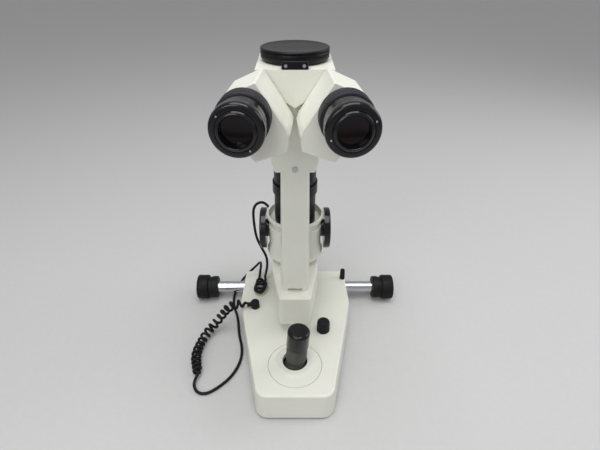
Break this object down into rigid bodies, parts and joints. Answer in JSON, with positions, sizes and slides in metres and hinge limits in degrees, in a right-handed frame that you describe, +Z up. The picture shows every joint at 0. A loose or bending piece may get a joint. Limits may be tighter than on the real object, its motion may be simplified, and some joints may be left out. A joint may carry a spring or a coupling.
{
  "type": "slit lamp",
  "caption": "Table-top slit lamp: sliding wedge base with joystick and wheeled cross axle, column with swinging illumination tower and binocular microscope, curly lead",
  "frame": {"origin": "on the table, midway across the base and midway between the eyecups' front and the column lobe's back", "axes": "+X to the operator's right, +Y towards the patient, +Z up"},
  "size_m": [0.3092, 0.2926, 0.396],
  "materials": {
    "body_paint": "satin off-white enamel",
    "black_paint": "satin black enamel",
    "black_plastic": "glossy black",
    "dark_plastic": "matt black",
    "grip_rubber": "ribbed black",
    "wheel_rubber": "matt black",
    "axle_chrome": "polished",
    "steel": "turned",
    "alloy": "satin",
    "bearing_brass": "turned",
    "lens_glass": "coated",
    "prism_glass": "clear",
    "mirror_face": "silvered",
    "belt_rubber": "toothed",
    "lead_sheath": "smooth black",
    "foot_plastic": "low friction",
    "screw_steel": "blackened"
  },
  "bodies": {
    "base": {"base_cover": "body_paint", "base_plate": "alloy", "base_screws": "screw_steel", "glide_foot": "foot_plastic", "joystick_plate": "body_paint", "column_guide": "steel", "lift_belt": "belt_rubber", "lead_plug": "dark_plastic", "lead_coil": "lead_sheath", "lead_tail": "lead_sheath", "lead_bundle": "lead_sheath", "lead_riser": "lead_sheath"},
    "brake": {"brake_knob": "dark_plastic"},
    "dimmer": {"dimmer_knob": "dark_plastic"},
    "gimbal": {"gimbal_ring": "steel"},
    "joystick": {"joystick_ball": "steel", "joystick_sleeve": "dark_plastic"},
    "grip": {"joystick_grip": "black_plastic", "joystick_cap": "black_plastic"},
    "drive": {"drive_pulley": "alloy"},
    "screw": {"lift_screw": "steel"},
    "bushes": {"axle_bushes": "bearing_brass"},
    "axle": {"axle_rod": "axle_chrome", "left_wheel": "wheel_rubber", "right_wheel": "wheel_rubber"},
    "column": {"column_spindle": "steel", "column_cap": "steel"},
    "microscope": {"microscope_arm": "body_paint", "arm_pillar": "body_paint", "head_bracket": "body_paint", "microscope_body": "body_paint", "body_top_cover": "black_paint", "objective_lenses": "lens_glass", "index_block": "dark_plastic", "microscope_screws": "screw_steel"},
    "drum": {"drum_knob": "black_paint", "drum_turret": "alloy"},
    "left_optics": {"left_prism_housing": "body_paint", "left_prism": "prism_glass", "left_eyepiece_tube": "steel"},
    "left_ocular": {"left_dioptre_ring": "grip_rubber", "left_eyecup": "black_plastic", "left_eye_lens": "lens_glass"},
    "right_optics": {"right_prism_housing": "body_paint", "right_prism": "prism_glass", "right_eyepiece_tube": "steel"},
    "right_ocular": {"right_dioptre_ring": "grip_rubber", "right_eyecup": "black_plastic", "right_eye_lens": "lens_glass"},
    "tower": {"illumination_arm": "body_paint", "lamp_housing": "body_paint", "lamp_bulb": "prism_glass", "lens_tube": "black_paint", "prism_head": "alloy", "prism_mirror": "mirror_face", "lead_gland": "dark_plastic"},
    "aperture": {"aperture_ring": "black_paint"},
    "slit": {"slit_shaft": "steel", "slit_knobs": "grip_rubber"}
  },
  "joints": [
    {"name": "brake_turn", "type": "hinge", "parent": "base", "child": "brake", "pos_m": [0.0736, 0.06635, 0.042], "axis": [0, 0, 1], "range_deg": [0, 90]},
    {"name": "dimmer_turn", "type": "hinge", "parent": "base", "child": "dimmer", "pos_m": [0.038, -0.03965, 0.042], "axis": [0, 0, 1], "range_deg": [0, 270]},
    {"name": "joystick_fore_aft", "type": "hinge", "parent": "base", "child": "gimbal", "pos_m": [0, -0.09265, 0.031], "axis": [1, 0, 0], "range_deg": [-10, 10]},
    {"name": "joystick_side", "type": "hinge", "parent": "gimbal", "child": "joystick", "pos_m": [0, -0.09265, 0.031], "axis": [0, 1, 0], "range_deg": [-10, 10]},
    {"name": "joystick_twist", "type": "hinge", "parent": "joystick", "child": "grip", "pos_m": [0, -0.09265, 0.031], "axis": [0.0698, 0, 0.9976], "range_deg": [0, 360]},
    {"name": "drive_turn", "type": "hinge", "parent": "base", "child": "drive", "pos_m": [0, -0.09265, 0.006], "axis": [0, 0, 1], "range_deg": [0, 360]},
    {"name": "lift_screw_turn", "type": "hinge", "parent": "base", "child": "screw", "pos_m": [0, 0.11235, 0.006], "axis": [0, 0, 1], "range_deg": [0, 360]},
    {"name": "axle_spin", "type": "hinge", "parent": "base", "child": "bushes", "pos_m": [0, 0.07235, 0.019], "axis": [1, 0, 0], "continuous": true},
    {"name": "axle_shift", "type": "slide", "parent": "bushes", "child": "axle", "axis": [1, 0, 0], "range_m": [-0.042, 0.018]},
    {"name": "column_lift", "type": "slide", "parent": "base", "child": "column", "axis": [0, 0, 1], "range_m": [0, 0.03], "deforming": ["lead_riser"]},
    {"name": "microscope_swing", "type": "hinge", "parent": "column", "child": "microscope", "pos_m": [0, 0.11235, 0.087], "axis": [0, 0, 1], "range_deg": [-90, 90]},
    {"name": "illumination_swing", "type": "hinge", "parent": "column", "child": "tower", "pos_m": [0, 0.11235, 0.112], "axis": [0, 0, 1], "range_deg": [-90, 90]},
    {"name": "drum_turn", "type": "hinge", "parent": "microscope", "child": "drum", "pos_m": [0, -0.01765, 0.341], "axis": [0, 0, 1], "continuous": true},
    {"name": "left_pd_swing", "type": "hinge", "parent": "microscope", "child": "left_optics", "pos_m": [-0.012, -0.05765, 0.341], "axis": [-0.0698, -0.9976, 0], "range_deg": [-21, 6]},
    {"name": "left_dioptre_turn", "type": "hinge", "parent": "left_optics", "child": "left_ocular", "pos_m": [-0.04252, -0.13572, 0.3595], "axis": [-0.0698, -0.9976, 0], "range_deg": [-150, 150]},
    {"name": "right_pd_swing", "type": "hinge", "parent": "microscope", "child": "right_optics", "pos_m": [0.012, -0.05765, 0.341], "axis": [0.0698, -0.9976, 0], "range_deg": [-6, 21]},
    {"name": "right_dioptre_turn", "type": "hinge", "parent": "right_optics", "child": "right_ocular", "pos_m": [0.04252, -0.13572, 0.3595], "axis": [0.0698, -0.9976, 0], "range_deg": [-150, 150]},
    {"name": "aperture_turn", "type": "hinge", "parent": "tower", "child": "aperture", "pos_m": [0, 0.04735, 0.216], "axis": [0, 0, 1], "range_deg": [-120, 120]},
    {"name": "slit_width", "type": "hinge", "parent": "tower", "child": "slit", "pos_m": [0, 0.04735, 0.15], "axis": [1, 0, 0], "range_deg": [0, 180]}
  ],
  "couplings": [
    {"joint": "joystick_twist", "follows": "column_lift", "rad_per_m": 209.23},
    {"joint": "drive_turn", "follows": "column_lift", "rad_per_m": 209.23},
    {"joint": "lift_screw_turn", "follows": "column_lift", "rad_per_m": 209.23},
    {"joint": "right_pd_swing", "follows": "left_pd_swing", "ratio": -1}
  ]
}
